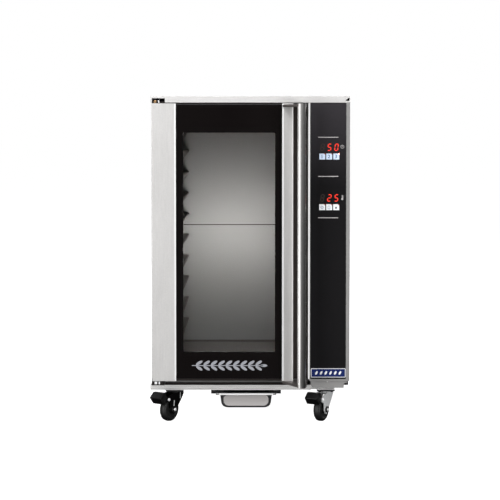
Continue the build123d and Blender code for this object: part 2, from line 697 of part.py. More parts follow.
def cable_gland():
    """Cable gland for a 10 mm supply cable, with a hexagonal body and a lock nut."""
    body = rod((GLAND_X, BACK_Y - 12, GLAND_Z), GLAND_R, 15, "Y")
    body += rod((GLAND_X, BACK_Y + GLAND_HEX_T, GLAND_Z), GLAND_R - 1, 3.5, "Y")
    hexagon = extrude(RegularPolygon(GLAND_HEX_R, 6), GLAND_HEX_T)
    for face_y in (BACK_Y + GLAND_HEX_T, BACK_Y - SHEET):
        body += Pos(GLAND_X, face_y, GLAND_Z) * Rot(90, 0, 0) * hexagon
    return body - rod((GLAND_X, BACK_Y - 14, GLAND_Z), GLAND_BORE_R, 40, "Y")


def rear_buffers():
    """Four round rubber buffers that keep the cabinet off the wall."""
    children = []
    for x in (-260, 260):
        for z in (160, 940):
            children.append(rod((x, BACK_Y, z), 14, REAR_Y - BACK_Y, "Y"))
    return Compound(children=children)


def casing_screws():
    """Pan-head screws of the rear panel and the service panel."""
    screws = []
    for x in (-285, -95, 95, 285):
        for z in (130, 975):
            screws.append(Pos(x, BACK_Y, z) * Rot(-90, 0, 0) * screw_head())
    for z in (330, 550, 770):
        for x in (-292, 292):
            screws.append(Pos(x, BACK_Y, z) * Rot(-90, 0, 0) * screw_head())
    screws.append(Pos(236.5, DOOR_Y + 3, 131) * Rot(90, 0, 0) * screw_head(2.2))
    return Compound(children=screws)


def screw_head(radius=4.0):
    """A low domed head with a cross slot, standing on Z."""
    head = Cylinder(radius, 2.2, align=(Align.CENTER, Align.CENTER, Align.MIN))
    head = fillet(head.edges().sort_by(Axis.Z)[-1], radius * 0.25)
    slot = Pos(0, 0, 2.2) * (Box(radius * 1.1, radius * 0.25, 1.4) + Box(radius * 0.25, radius * 1.1, 1.4))
    return head - slot


# --- Castors -----------------------------------------------------------------------


def castor_place(name):
    """Frame of a castor: X along its trail, Y across it, Z up from the floor and the swivel axis at X 0."""
    x, y, heading = CASTORS[name]
    return Pos(x, y, 0) * Rot(0, 0, -90 - heading)


def castor_plates():
    """Four bolted top plates, each with a kingpin for its swivel head."""
    plates = []
    for x, y, _ in CASTORS.values():
        plate = block(-28, 28, -35, 35, BASE_Z - PLATE_T, BASE_Z)
        plate = fillet(plate.edges().filter_by(Axis.Z), 5)
        plate += rod((0, 0, 83), KINGPIN_R, BASE_Z - PLATE_T - 83)
        plate += rod((0, 0, 79.5), 8, 4)
        for u in (-19, 19):
            for v in (-27, 27):
                plate += rod((u, v, BASE_Z - PLATE_T - 2.5), 4.5, 2.5)
        plates.append(Pos(x, y, 0) * plate)
    return Compound(children=plates)


def castor_fork(name, braked):
    """Swivel head and bent fork with its axle bolt, and ears for the brake on the front ones."""
    front = [(46, 84), (60, 78), (62, 66), (54, 61), (46, 62)] if braked else [(40, 83), (46, 66)]
    foot = [(44, 44), (43, 34), (38, 26), (TRAIL, 23), (22, 26), (16, 36)]
    outline = [(-22, 88), (24, 88), *front, *foot, (-10, 64), (-22, 80)]
    fork = prism_y(outline, -FORK_OUT, -FORK_IN) + prism_y(outline, FORK_IN, FORK_OUT)
    fork += block(-22, 24, -FORK_OUT, FORK_OUT, 85, 88)
    fork += rod((0, 0, 88), 21, 5.4)
    fork -= rod((0, 0, 80), KINGPIN_R + RUNNING, 20)
    fork += rod((TRAIL, -FORK_OUT - 1, WHEEL_R), AXLE_R, 2 * FORK_OUT + 2, "Y")
    for v in (-FORK_OUT - 5, FORK_OUT):
        fork += Pos(TRAIL, v + 5, WHEEL_R) * Rot(90, 0, 0) * extrude(RegularPolygon(8, 6), 5)
    if braked:
        u, z = PEDAL_PIVOT
        fork += rod((u, -FORK_OUT - 1.5, z), PEDAL_PIN_R, 2 * FORK_OUT + 3, "Y")
        for v in (-FORK_OUT - 2.5, FORK_OUT):
            fork += rod((u, v, z), 4.5, 2.5, "Y")
    return castor_place(name) * fork


def castor_wheel(name):
    """Solid wheel with a crowned tread and recessed hub faces."""
    half = WHEEL_W / 2
    profile = [
        (AXLE_R + RUNNING, -half - 1.5),
        (10, -half - 1.5),
        (12, -half + 4),
        (24, -half + 4),
        (27, -half),
        (33, -half + 0.5),
        (36.3, -half + 3.5),
        (WHEEL_R, -half + 8.5),
        (WHEEL_R, half - 8.5),
        (36.3, half - 3.5),
        (33, half - 0.5),
        (27, half),
        (24, half - 4),
        (12, half - 4),
        (10, half + 1.5),
        (AXLE_R + RUNNING, half + 1.5),
    ]
    outline = [(r, 0, w) for r, w in profile]
    wheel = revolve(make_face(Polyline(*outline, close=True)), Axis.Z)
    return castor_place(name) * Pos(TRAIL, 0, WHEEL_R) * Rot(90, 0, 0) * wheel


def brake_pedal(name):
    """Hooded foot pedal with a tongue between the fork's ears."""
    skin = PEDAL_SKIN
    hood = [(64, 95), (74, 94.5), (91, 84.5), (89, 81), (77, 60), (66.5, 60), (64, 70)]
    space = [(60, 95 - skin), (73, 94.5 - skin), (87, 83.5), (86, 81.5), (75.5, 63), (75, 50), (50, 50)]
    pedal = prism_y(hood, -PEDAL_HALF, PEDAL_HALF)
    pedal -= prism_y(space, -PEDAL_HALF + skin, PEDAL_HALF - skin)
    u, z = PEDAL_PIVOT
    boss = [(u + 6, z - 4), (u, z - 5), (u - 6, z), (u - 5, z + 6), (u + 2, z + 8.5)]
    tongue = [*boss, (72, 92.5), (80, 88), (68, 74)]
    pedal += prism_y(tongue, -13.5, 13.5)
    pedal -= rod((u, -20, z), PEDAL_PIN_R + RUNNING, 40, "Y")
    return castor_place(name) * pedal


# --- Writing the parts ---------------------------------------------------------------


def all_parts():
    """Every node by name."""
    parts = {
        "base_frame": base_frame(),
        "body_floor": body_floor(),
        "left_side_panel": side_panel(-1),
        "right_side_panel": right_side_panel(),
        "top_panel": top_panel(),
        "rear_panel": rear_panel(),
        "cavity_liner": cavity_liner(),
        "door_surround": door_surround(),
        "insulation": insulation(),
        "rear_baffle_upper": rear_baffle(BAFFLE_SPLIT_Z + 1.5, CAVITY_Z1 - 6),
        "rear_baffle_lower": rear_baffle(CAVITY_Z0 + 6, BAFFLE_SPLIT_Z - 1.5),
        "rack_left": rack(-1),
        "rack_right": rack(1),
        "door_gasket": door_gasket(),
        "drip_gutter": drip_gutter(),
        "fan_frames": fan_frames(),
        "heater_element": heater_element(),
        "humidity_trough": humidity_trough(),
        "drain_spout": drain_spout(),
        "drip_pan_runners": drip_pan_runners(),
        "drip_pan": drip_pan(),
        "door_hinge_stile": door_hinge_stile(),
        "door_handle_stile": door_handle_stile(),
        "handle_end_plates": handle_end_plates(),
        "door_handle": door_handle(),
        "door_rails": door_rails(),
        "door_outer_glass": door_outer_glass(),
        "door_inner_frame": door_inner_frame(),
        "door_inner_glass": door_inner_glass(),
        "hinge_bushes": hinge_bushes(),
        "hinge_brackets": hinge_brackets(),
        "column_frame": column_frame(),
        "control_panel": control_panel(),
        "indicator_leds": indicator_leds(),
        "display_modules": display_modules(),
        "control_board": control_board(),
        "badge_plate": badge_plate(),
        "service_panel": service_panel(),
        "cable_gland": cable_gland(),
        "rear_buffers": rear_buffers(),
        "casing_screws": casing_screws(),
        "castor_plates": castor_plates(),
    }
    for level, z in FAN_Z.items():
        parts[f"fan_wheel_{level}"] = fan_wheel(z)
    for level, z in KEY_Z.items():
        for number, x in enumerate(KEY_X, start=1):
            parts[f"key_{level}_{number}"] = key(x, z)
    for name in CASTORS:
        braked = name.startswith("front")
        parts[f"castor_fork_{name}"] = castor_fork(name, braked)
        parts[f"castor_wheel_{name}"] = castor_wheel(name)
        if braked:
            parts[f"brake_pedal_{name}"] = brake_pedal(name)
    return parts


os.makedirs("parts", exist_ok=True)
for node, shape in all_parts().items():
    export_step(shape, f"parts/{node}.step")
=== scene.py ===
"""Proofing cabinet: finishes, glass, printed and lit graphics, small hardware, light and camera."""

import json
import math

import bmesh
import bpy
from mathutils import Matrix, Vector


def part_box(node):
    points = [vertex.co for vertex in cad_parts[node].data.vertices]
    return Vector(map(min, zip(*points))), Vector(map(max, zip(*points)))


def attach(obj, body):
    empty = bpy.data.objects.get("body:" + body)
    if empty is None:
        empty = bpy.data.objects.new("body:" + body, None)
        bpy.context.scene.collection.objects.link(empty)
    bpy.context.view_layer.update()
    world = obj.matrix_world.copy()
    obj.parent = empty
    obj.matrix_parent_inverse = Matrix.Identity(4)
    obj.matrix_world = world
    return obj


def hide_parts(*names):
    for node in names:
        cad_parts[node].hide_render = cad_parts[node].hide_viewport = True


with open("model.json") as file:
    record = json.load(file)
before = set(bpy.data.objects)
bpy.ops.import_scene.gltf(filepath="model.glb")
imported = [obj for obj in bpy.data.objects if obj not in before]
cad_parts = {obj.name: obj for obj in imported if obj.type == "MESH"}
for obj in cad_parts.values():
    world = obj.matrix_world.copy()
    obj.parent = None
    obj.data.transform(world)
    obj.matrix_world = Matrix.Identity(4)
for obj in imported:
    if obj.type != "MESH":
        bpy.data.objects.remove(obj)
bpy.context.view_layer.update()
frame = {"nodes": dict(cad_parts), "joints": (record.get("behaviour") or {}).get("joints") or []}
nodes = frame["nodes"]

MM = 0.001
WELD_DISTANCE = 0.01 * MM
PRINT_T = 0.12 * MM
UPRIGHT = Matrix.Rotation(math.radians(90), 4, "X")


# --- Finishes --------------------------------------------------------------------------


class Finish:
    """A Principled material with short calls for procedural variation."""

    def __init__(self, name, colour, metallic=0.0, roughness=0.5, ior=1.5):
        self.material = bpy.data.materials.new(name)
        self.material.use_nodes = True
        self.tree = self.material.node_tree
        self.shader = self.tree.nodes["Principled BSDF"]
        self.shader.inputs["Base Color"].default_value = (*colour, 1)
        self.shader.inputs["Metallic"].default_value = metallic
        self.shader.inputs["Roughness"].default_value = roughness
        self.shader.inputs["IOR"].default_value = ior

    def node(self, kind, **settings):
        made = self.tree.nodes.new("ShaderNode" + kind)
        for key, value in settings.items():
            setattr(made, key, value)
        return made

    def link(self, source, target):
        self.tree.links.new(source, target)

    def noise(self, scale, detail=3.0, stretch=(1, 1, 1), roughness=0.5):
        """Noise over the object's own coordinates, stretched along chosen axes."""
        coords = self.node("TexCoord")
        mapping = self.node("Mapping")
        mapping.inputs["Scale"].default_value = stretch
        texture = self.node("TexNoise")
        texture.inputs["Scale"].default_value = scale
        texture.inputs["Detail"].default_value = detail
        texture.inputs["Roughness"].default_value = roughness
        self.link(coords.outputs["Object"], mapping.inputs["Vector"])
        self.link(mapping.outputs["Vector"], texture.inputs["Vector"])
        return texture.outputs["Fac"]

    def height(self, low, high):
        """0 to 1 as the object's own Z goes from low to high, in metres."""
        coords = self.node("TexCoord")
        split = self.node("SeparateXYZ")
        self.link(coords.outputs["Object"], split.inputs["Vector"])
        return self.remap(split.outputs["Z"], 0.0, 1.0, low, high)

    def remap(self, source, low, high, from_low=0.25, from_high=0.75):
        """Maps a grey value to a range of numbers."""
        span = self.node("MapRange")
        span.inputs["From Min"].default_value = from_low
        span.inputs["From Max"].default_value = from_high
        span.inputs["To Min"].default_value = low
        span.inputs["To Max"].default_value = high
        self.link(source, span.inputs["Value"])
        return span.outputs["Result"]

    def blend(self, source, low, high, start=0.3, end=0.7):
        """Maps a grey value to a blend of two colours."""
        ramp = self.node("ValToRGB")
        for stop, place, colour in zip(ramp.color_ramp.elements, (start, end), (low, high)):
            stop.position = place
            stop.color = (*colour, 1)
        self.link(source, ramp.inputs["Fac"])
        return ramp.outputs["Color"]

    def multiply(self, first, second):
        """The product of two colours."""
        mix = self.node("Mix", data_type="RGBA", blend_type="MULTIPLY")
        mix.inputs["Factor"].default_value = 1.0
        self.link(first, mix.inputs[6])
        self.link(second, mix.inputs[7])
        return mix.outputs[2]

    def colour(self, source):
        self.link(source, self.shader.inputs["Base Color"])

    def roughness(self, source):
        self.link(source, self.shader.inputs["Roughness"])

    def bump(self, *heights):
        """Relief from (grey value, depth in metres, strength) layers."""
        normal = None
        for source, depth, strength in heights:
            bump = self.node("Bump")
            bump.inputs["Distance"].default_value = depth
            bump.inputs["Strength"].default_value = strength
            self.link(source, bump.inputs["Height"])
            if normal is not None:
                self.link(normal, bump.inputs["Normal"])
            normal = bump.outputs["Normal"]
        self.link(normal, self.shader.inputs["Normal"])


def scaled(colour, factor):
    """A colour made lighter or darker, at most full strength."""
    return tuple(min(1.0, channel * factor) for channel in colour)


def grey(value):
    return (value, value, value)


def brushed(name, colour, roughness, grain="z", streak=0.05, cloud=0.04, metallic=0.7):
    """Metal sheet with fine streaks along its grain, a speckle and faint handling clouds."""
    finish = Finish(name, colour, metallic, roughness)
    stretch = {"x": (0.03, 1, 1), "y": (1, 0.03, 1), "z": (1, 1, 0.03)}[grain]
    streaks = finish.noise(700, 4, stretch, 0.7)
    speckle = finish.noise(260, 4, (1, 1, 1), 0.7)
    clouds = finish.noise(6, 3)
    tone = finish.blend(streaks, scaled(colour, 1 - streak), scaled(colour, 1 + streak))
    tone = finish.multiply(tone, finish.blend(speckle, grey(1 - 1.4 * streak), grey(1.0)))
    tone = finish.multiply(tone, finish.blend(clouds, grey(1 - cloud), grey(1.0)))
    finish.colour(tone)
    finish.roughness(finish.remap(streaks, roughness - 0.05, roughness + 0.08))
    finish.bump((streaks, 0.04 * MM, 0.3), (speckle, 0.08 * MM, 0.15))
    return finish.material


def moulded(name, colour, roughness, grain=900, depth=0.1 * MM, worn=0.03):
    """Plastic or rubber with a fine moulded texture and a little dust."""
    finish = Finish(name, colour, 0.0, roughness)
    fine = finish.noise(grain, 4, (1, 1, 1), 0.6)
    dust = finish.noise(26, 5, (1, 1, 1), 0.65)
    finish.colour(finish.blend(dust, colour, tuple(channel + worn for channel in colour), 0.45, 0.85))
    finish.roughness(finish.remap(dust, roughness - 0.05, roughness + 0.1))
    finish.bump((fine, depth, 0.5))
    return finish.material


def glossy(name, colour, roughness, ior, smear=0.05):
    """Smooth printed surface with faint wiping marks in its gloss."""
    finish = Finish(name, colour, 0.0, roughness, ior)
    wipes = finish.noise(9, 4, (1, 1, 0.35), 0.6)
    finish.colour(finish.blend(wipes, scaled(colour, 0.9), scaled(colour, 1.15)))
    finish.roughness(finish.remap(wipes, roughness, roughness + smear))
    return finish.material


def fascia(name, low, high):
    """Dark satin fascia with a painted reflection that makes it greyer towards its top edge."""
    finish = Finish(name, low, 0.0, 0.32, 1.4)
    column_low, column_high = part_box("control_panel")
    # Painted reflection: the high colour is blended in over the top three tenths of the column.
    painted_reflection_rise = finish.height(column_low.z + 0.7 * (column_high.z - column_low.z), column_high.z)
    mottle = finish.noise(350, 3)
    tone = finish.blend(painted_reflection_rise, low, high, 0.0, 1.0)
    finish.colour(finish.multiply(tone, finish.blend(mottle, grey(0.92), grey(1.0))))
    finish.roughness(finish.remap(mottle, 0.28, 0.36))
    finish.bump((mottle, 0.03 * MM, 0.3))
    return finish.material


def glazing(name, tint, ior):
    """Thin pane: clear, with a Fresnel reflection, so that light reaches what is behind it."""
    finish = Finish(name, tint)
    finish.tree.nodes.remove(finish.shader)
    through = finish.node("BsdfTransparent")
    through.inputs["Color"].default_value = (*tint, 1)
    mirror = finish.node("BsdfGlossy")
    mirror.inputs["Roughness"].default_value = 0.02
    fresnel = finish.node("Fresnel")
    fresnel.inputs["IOR"].default_value = ior
    mix = finish.node("MixShader")
    finish.link(fresnel.outputs["Fac"], mix.inputs["Fac"])
    finish.link(through.outputs["BSDF"], mix.inputs[1])
    finish.link(mirror.outputs["BSDF"], mix.inputs[2])
    finish.link(mix.outputs["Shader"], finish.tree.nodes["Material Output"].inputs["Surface"])
    return finish.material


def glowing(name, colour, strength, unlit=0.25):
    """Lit display element with a slightly uneven glow."""
    finish = Finish(name, scaled(colour, unlit), 0.0, 0.4)
    uneven = finish.noise(700, 2)
    finish.link(
        finish.blend(uneven, scaled(colour, 0.85), colour), finish.shader.inputs["Emission Color"]
    )
    finish.shader.inputs["Emission Strength"].default_value = strength
    return finish.material


def backwall(name):
    """Brushed baffle sheet, even in tone but for fine streaks across it."""
    base = (0.385, 0.395, 0.39)
    finish = Finish(name, base, 0.8, 0.55)
    streaks = finish.noise(700, 4, (0.03, 1, 1), 0.7)
    finish.colour(finish.blend(streaks, scaled(base, 0.98), scaled(base, 1.02)))
    finish.roughness(finish.remap(streaks, 0.54, 0.57))
    return finish.material


STEEL = (0.72, 0.71, 0.70)
finishes = {
    "sheet_x": brushed("stainless_across", STEEL, 0.50, "x"),
    "sheet_z": brushed("stainless_upright", STEEL, 0.50, "z"),
    # A brighter copy of the stainless: painted light on the base rail in place of light bounced from the
    # floor.
    "rail": brushed("rail_steel_painted_light", (0.93, 0.92, 0.91), 0.50, "x", 0.02, 0.04, 0.5),
    "shaded": brushed("stainless_shaded", (0.36, 0.355, 0.35), 0.50, "x"),
    "trim": brushed("stainless_trim", (0.80, 0.79, 0.78), 0.50, "x"),
    "baffle": backwall("stainless_baffle"),
    "liner": brushed("stainless_liner", (0.31, 0.285, 0.28), 0.5, "y", 0.04),
    "foot": brushed("baffle_foot", (0.19, 0.175, 0.17), 0.6, "x", 0.03),
    "rack": brushed("rack_steel", (0.16, 0.132, 0.124), 0.42, "y", 0.14),
    # Near-black sheets: painted shade in the handle recess and behind the baffle joint.
    "painted_shade": brushed("recess_painted_shade", (0.035, 0.027, 0.024), 0.45, "z", 0.08),
    # Near-white strips: painted highlights along folded edges and the pan's rim.
    "edge_highlight": brushed("edge_painted_highlight", (0.95, 0.95, 0.95), 0.45, "z", 0.01, 0.01, 0.3),
    # Dark strips: painted shade in the base rail's creases.
    "crease_shade": brushed("pressed_crease_painted_shade", (0.16, 0.15, 0.145), 0.5, "x"),
    # Brighter copy of the pan's steel: painted light on the pan's front.
    "pan_face_highlight": brushed("pan_front_painted_light", (0.66, 0.63, 0.62), 0.45, "x", 0.02, 0.05, 0.4),
    # A darker copy of the stainless: painted shade on the handle's end plates.
    "shaded_plate": brushed("handle_plate_painted_shade", (0.14, 0.125, 0.12), 0.45, "x"),
    "tube": brushed("handle_steel", (0.62, 0.61, 0.60), 0.22, "z", 0.02),
    "zinc": brushed("zinc_plate", (0.62, 0.62, 0.62), 0.34, "z", 0.08, 0.15),
    # Lit and shaded copies of the fork's zinc: a painted highlight here, painted shade below.
    "zinc_painted_highlight": brushed("zinc_painted_highlight", (0.95, 0.98, 1.0), 0.40, "z", 0.12, 0.25, 0.15),
    "shaded_fork": brushed("fork_painted_shade", (0.010, 0.009, 0.010), 0.35, "z", 0.10, 0.2),
    "nut": brushed("bright_fastener", (0.95, 0.95, 0.96), 0.35, "z", 0.03, 0.02, 0.3),
    "pan": brushed("pan_steel", (0.20, 0.20, 0.205), 0.27, "x", 0.03, 0.06),
    # Dark steel, also used as painted shade on the drip gutter and door rails.
    "dark_steel": brushed("dark_steel", (0.05, 0.043, 0.041), 0.40, "x", 0.10),
    "bronze": brushed("sintered_bronze", (0.55, 0.34, 0.17), 0.38, "z", 0.08, 0.12),
    "border": glossy("printed_glass", (0.0055, 0.0045, 0.0045), 0.10, 1.33),
    # The fascia's lighter top colour is a painted reflection.
    "fascia": fascia("fascia_black_painted_reflection", (0.0045, 0.0040, 0.0048), (0.032, 0.029, 0.033)),
    "pedal": moulded("pedal_plastic", (0.003, 0.0028, 0.003), 0.40, worn=0.004),
    "tyre": moulded("castor_rubber", (0.003, 0.0028, 0.003), 0.55, 500, 0.2 * MM, 0.004),
    "black": moulded("black_plastic", (0.005, 0.005, 0.0055), 0.45, worn=0.006),
    "seal": moulded("silicone_seal", (0.02, 0.02, 0.021), 0.5, 300),
    "wool": moulded("mineral_wool", (0.16, 0.15, 0.13), 0.9, 220, 2 * MM, 0.05),
    "board": moulded("circuit_board", (0.02, 0.10, 0.035), 0.4, 400),
    "key": moulded("key_white", (0.86, 0.87, 0.89), 0.35, 1200, 0.03 * MM, 0.02),
    "blue_key": moulded("key_pale_blue", (0.62, 0.73, 0.90), 0.35, 1200, 0.03 * MM, 0.02),
    "key_mark": moulded("key_print", (0.10, 0.18, 0.33), 0.5, 1200, 0.03 * MM, 0.02),
    "key_dark": moulded("key_print_dark", (0.05, 0.06, 0.08), 0.5, 1200, 0.03 * MM, 0.02),
    "print": moulded("panel_print", (0.42, 0.40, 0.40), 0.5, 1200, 0.03 * MM, 0.02),
    "motif": moulded("glass_print", (0.30, 0.31, 0.34), 0.5, 1200, 0.03 * MM, 0.02),
    "unlit": moulded("display_unlit", (0.030, 0.016, 0.012), 0.4, 1200, 0.03 * MM, 0.01),
    "blue": glossy("badge_blue", (0.012, 0.022, 0.105), 0.2, 1.45),
    "white": brushed("badge_white", (0.88, 0.88, 0.90), 0.40, "x", 0.02, 0.02, 0.2),
    "red": glowing("display_red", (1.0, 0.045, 0.02), 1.25),
    "led": glowing("led_lit", (1.0, 0.24, 0.20), 16.0),
    "led_dim": glowing("led_idle", (1.0, 0.05, 0.03), 0.35),
    "pane": glazing("window_pane", (0.97, 0.98, 0.98), 1.30),
    "inner_pane": glazing("inner_pane", (0.97, 0.98, 0.98), 1.22),
}


# --- CAD pieces ------------------------------------------------------------------------


def round_edges(obj, width):
    """Rounds the sharp edges of an object."""
    bevel = obj.modifiers.new("edges", "BEVEL")
    bevel.width = width
    bevel.segments = 2
    bevel.limit_method = "ANGLE"
    bevel.angle_limit = math.radians(40)


def finish_node(node, finish, edge):
    """Gives a CAD piece its finish and rounds its cut and folded edges."""
    obj = nodes[node]
    for place in obj.material_slots:
        place.link = "OBJECT"
        place.material = finishes[finish]
    if edge:
        weld = obj.modifiers.new("weld", "WELD")
        weld.merge_threshold = WELD_DISTANCE
        round_edges(obj, edge)


NODE_FINISHES = {
    "sheet_x": ("body_floor",),
    "rail": ("base_frame",),
    "shaded": ("service_panel", "column_frame", "door_surround"),
    # Painted shade on the handle's end plates.
    "shaded_plate": ("handle_end_plates",),
    "sheet_z": ("left_side_panel", "right_side_panel", "rear_panel", "door_hinge_stile",
                "door_handle_stile", "door_inner_frame"),
    "trim": ("top_panel",),
    "baffle": ("rear_baffle_upper", "rear_baffle_lower"),
    "liner": ("cavity_liner", "humidity_trough"),
    "rack": ("rack_left", "rack_right"),
    "tube": ("door_handle",),
    "pan": ("drip_pan",),
    "zinc": ("drain_spout", "casing_screws"),
    # Painted shade: the drip gutter and door rails under the door take this dark colour.
    "dark_steel": ("hinge_brackets", "drip_gutter", "heater_element", "door_rails"),
    "bronze": ("hinge_bushes",),
    "fascia": ("control_panel",),
    "seal": ("door_gasket",),
    "wool": ("insulation",),
    "board": ("control_board",),
    "black": ("castor_plates", "fan_frames", "drip_pan_runners", "cable_gland", "display_modules",
              "fan_wheel_upper", "fan_wheel_lower"),
    "tyre": ("rear_buffers",),
    "inner_pane": ("door_inner_glass",),
}
SHARP_NODES = ("base_frame", "insulation", "door_inner_glass", "rear_baffle_upper", "rear_baffle_lower")
PREFIX_FINISHES = {
    "key_upper": "blue_key",
    "key_lower": "key",
    # The two front forks are one zinc plate, painted dark as shade on the left and bright as light on
    # the right.
    "castor_fork_front_left": "shaded_fork",
    "castor_fork_front_right": "zinc_painted_highlight",
    "castor_fork_rear": "zinc",
    "castor_wheel": "tyre",
}
SHEET_EDGE, KEY_EDGE, CASTOR_EDGE = 0.5 * MM, 0.3 * MM, 0.6 * MM


def finish_cad():
    """Finishes every CAD piece that stays in view."""
    for finish, names in NODE_FINISHES.items():
        for node in names:
            finish_node(node, finish, 0.0 if node in SHARP_NODES else SHEET_EDGE)
    for prefix, finish in PREFIX_FINISHES.items():
        for node in nodes:
            if node.startswith(prefix):
                finish_node(node, finish, KEY_EDGE if prefix.startswith("key") else CASTOR_EDGE)


# --- Mesh tools ------------------------------------------------------------------------


def piece(name, bm, finish, body, edge=0.0, replaces=()):
    """Makes a visible piece from a bmesh and lets it ride on a body."""
    bmesh.ops.recalc_face_normals(bm, faces=bm.faces[:])
    mesh = bpy.data.meshes.new(name)
    bm.to_mesh(mesh)
    bm.free()
    obj = bpy.data.objects.new(name, mesh)
    bpy.context.scene.collection.objects.link(obj)
    mesh.materials.append(finishes[finish])
    if edge:
        round_edges(obj, edge)
    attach(obj, body)
    for node in replaces:
        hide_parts(node)
    return obj


def rounded(x0, x1, z0, z1, radius, steps=6):
    """Outline of a rectangle with round corners, or cut corners when steps is 1."""
    corners = ((x1, z1, 0), (x0, z1, 90), (x0, z0, 180), (x1, z0, 270))
    outline = []
    for x, z, start in corners:
        cx = x - radius if x == x1 else x + radius
        cz = z - radius if z == z1 else z + radius
        for i in range(steps + 1):
            angle = math.radians(start + 90 * i / steps)
            outline.append((cx + radius * math.cos(angle), cz + radius * math.sin(angle)))
    return outline


def disc(x, z, radius, steps=24):
    """Outline of a circle."""
    turn = 2 * math.pi / steps
    return [(x + radius * math.cos(i * turn), z + radius * math.sin(i * turn)) for i in range(steps)]


def ellipse(x, z, half_length, half_width, angle, steps=20):
    """Outline of an ellipse whose long axis is turned by angle."""
    outline = []
    for i in range(steps):
        a = 2 * math.pi * i / steps
        point = Vector((half_length * math.cos(a), half_width * math.sin(a)))
        point.rotate(Matrix.Rotation(angle, 2))
        outline.append((x + point.x, z + point.y))
    return outline


def stroke(a, b, width):
    """Outline of a straight stroke with pointed ends."""
    a, b = Vector(a), Vector(b)
    along = (b - a).normalized() * width / 2
    across = Vector((-along.y, along.x))
    near, far = a + along, b - along
    return [tuple(point) for point in (a, near - across, far - across, b, far + across, near + across)]


def slab(bm, outline, front, back):
    """Extrudes an (x, z) outline from its front plane to its back plane."""
    rings = [[bm.verts.new((x, y, z)) for x, z in outline] for y in (front, back)]
    bm.faces.new(rings[0])
    bm.faces.new(reversed(rings[1]))
    for i in range(len(outline)):
        j = (i + 1) % len(outline)
        bm.faces.new((rings[0][i], rings[0][j], rings[1][j], rings[1][i]))


def ring_slab(bm, outer, inner, front, back):
    """Extrudes the band between two outlines with the same number of points."""
    rings = []
    for y in (front, back):
        for outline in (outer, inner):
            rings.append([bm.verts.new((x, y, z)) for x, z in outline])
    count = len(outer)
    for first, second in ((0, 1), (1, 3), (3, 2), (2, 0)):
        for i in range(count):
            j = (i + 1) % count
            bm.faces.new((rings[first][i], rings[first][j], rings[second][j], rings[second][i]))


def turned(bm, profile, place, axis, steps=48):
    """Revolves a closed profile of (radius, distance) points about an axis through place."""
    frame_turn = axis.to_track_quat("Z", "X").to_matrix()
    rings = []
    for i in range(steps):
        a = 2 * math.pi * i / steps
        ring = []
        for radius, distance in profile:
            local = Vector((radius * math.cos(a), radius * math.sin(a), distance))
            ring.append(bm.verts.new(place + frame_turn @ local))
        rings.append(ring)
    count = len(profile)
    for i in range(steps):
        near, far = rings[i], rings[(i + 1) % steps]
        for k in range(count):
            m = (k + 1) % count
            if profile[k][0] < 1e-9 and profile[m][0] < 1e-9:
                continue
            bm.faces.new((near[k], far[k], far[m], near[m]))
    bmesh.ops.remove_doubles(bm, verts=bm.verts[:], dist=1e-7)


def placed(bm, matrix):
    """Moves a bmesh by a matrix and hands it back."""
    bmesh.ops.transform(bm, matrix=matrix, verts=bm.verts[:])
    return bm


def grown(box, by):
    """An (x0, x1, z0, z1) rectangle grown on every side."""
    return box[0] - by, box[1] + by, box[2] - by, box[3] + by


def rect(node):
    """A node's (x0, x1, z0, z1) as seen from the front."""
    low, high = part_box(node)
    return low.x, high.x, low.z, high.z


def centre(node):
    """The middle of a node's box."""
    low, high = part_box(node)
    return (low + high) / 2


def joint(name):
    """A joint's entry in the frame."""
    return next(entry for entry in frame["joints"] if entry["name"] == name)


# --- Glass, trims and small details ------------------------------------------------------

# Width of the printed border at the left, right, foot and head of the glass.
WINDOW_MARGINS = (22.0 * MM, 21.5 * MM, 82.5 * MM, 86.4 * MM)
WINDOW_CORNER = 3.0 * MM


def window():
    """The clear window's rectangle inside the printed border."""
    x0, x1, z0, z1 = rect("door_outer_glass")
    left, right, low, high = WINDOW_MARGINS
    return x0 + left, x1 - right, z0 + low, z1 - high


def door_glass():
    """The outer pane as a printed border round a clear window."""
    low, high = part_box("door_outer_glass")
    sight = window()
    outer = rounded(*rect("door_outer_glass"), 2 * MM)
    border = bmesh.new()
    ring_slab(border, outer, rounded(*sight, WINDOW_CORNER), low.y, high.y)
    piece("glass_border", border, "border", "door", 0.4 * MM, ("door_outer_glass",))
    pane = bmesh.new()
    inset = 0.3 * MM
    slab(pane, rounded(*grown(sight, -0.05 * MM), WINDOW_CORNER), low.y + inset, high.y - inset)
    piece("glass_pane", pane, "pane", "door", 0.0, ("door_outer_glass",))


def baffle_joints():
    """Near-black sheet behind the joint of the two baffles as a painted shadow in the gap, and a foot
    closing the lower one.
    """
    low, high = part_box("rear_baffle_lower")
    upper_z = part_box("rear_baffle_upper")[0].z
    bm = bmesh.new()
    # Painted shadow: a near-black sheet behind the gap between the baffles.
    slab(bm, rounded(low.x + 1 * MM, high.x - 1 * MM, high.z - 6 * MM, upper_z + 6 * MM, 1 * MM, 3),
         high.y + 0.1 * MM, high.y + 0.8 * MM)
    piece("baffle_joint_painted_shade", bm, "painted_shade", "cabinet")
    sheet = 1.5 * MM
    foot_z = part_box("cavity_liner")[0].z + sheet
    foot = rounded(low.x, high.x, foot_z, low.z + sheet, 0.5 * MM, 3)
    bm = bmesh.new()
    slab(bm, foot, low.y - 0.8 * MM, low.y - 0.1 * MM)
    piece("baffle_foot", bm, "foot", "cabinet")


